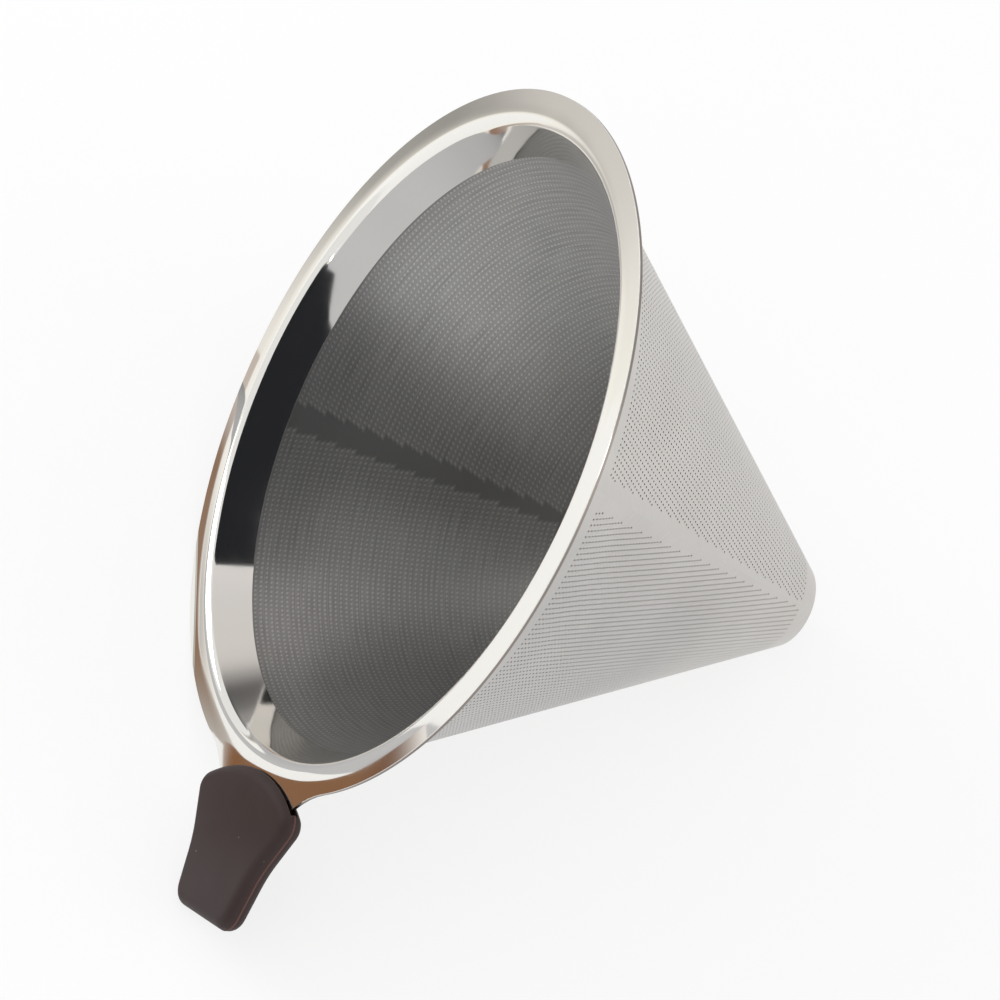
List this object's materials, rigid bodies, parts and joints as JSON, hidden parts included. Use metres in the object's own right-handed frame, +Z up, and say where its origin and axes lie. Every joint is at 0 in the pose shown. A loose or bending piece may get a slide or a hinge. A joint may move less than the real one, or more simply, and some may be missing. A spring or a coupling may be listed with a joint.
{
  "type": "reusable metal cone coffee filter",
  "caption": "Reusable pour-over coffee filter: perforated steel cone with a fine woven lining, a polished flange and collar, and a soft grip on a flat handle tab.",
  "frame": {"origin": "centre of the resting part's box, on the surface that it lies on", "axes": "+Z up from the surface; the mouth faces -Y and upwards, the small end points to +Y, and the handle reaches down towards +X"},
  "size_m": [0.1336, 0.1122, 0.1063],
  "materials": {
    "polished_rim": "polished stainless steel",
    "perforated_sheet": "satin stainless steel sheet with small round holes",
    "woven_lining": "fine woven stainless steel wire",
    "end_sheet": "satin stainless steel",
    "grip_silicone": "matt moulded silicone, dark brown"
  },
  "bodies": {
    "root": {"rim_with_tab": "polished_rim", "outer_cone": "perforated_sheet", "inner_mesh": "woven_lining", "end_plate": "end_sheet", "handle_grip": "grip_silicone"}
  },
  "joints": []
}
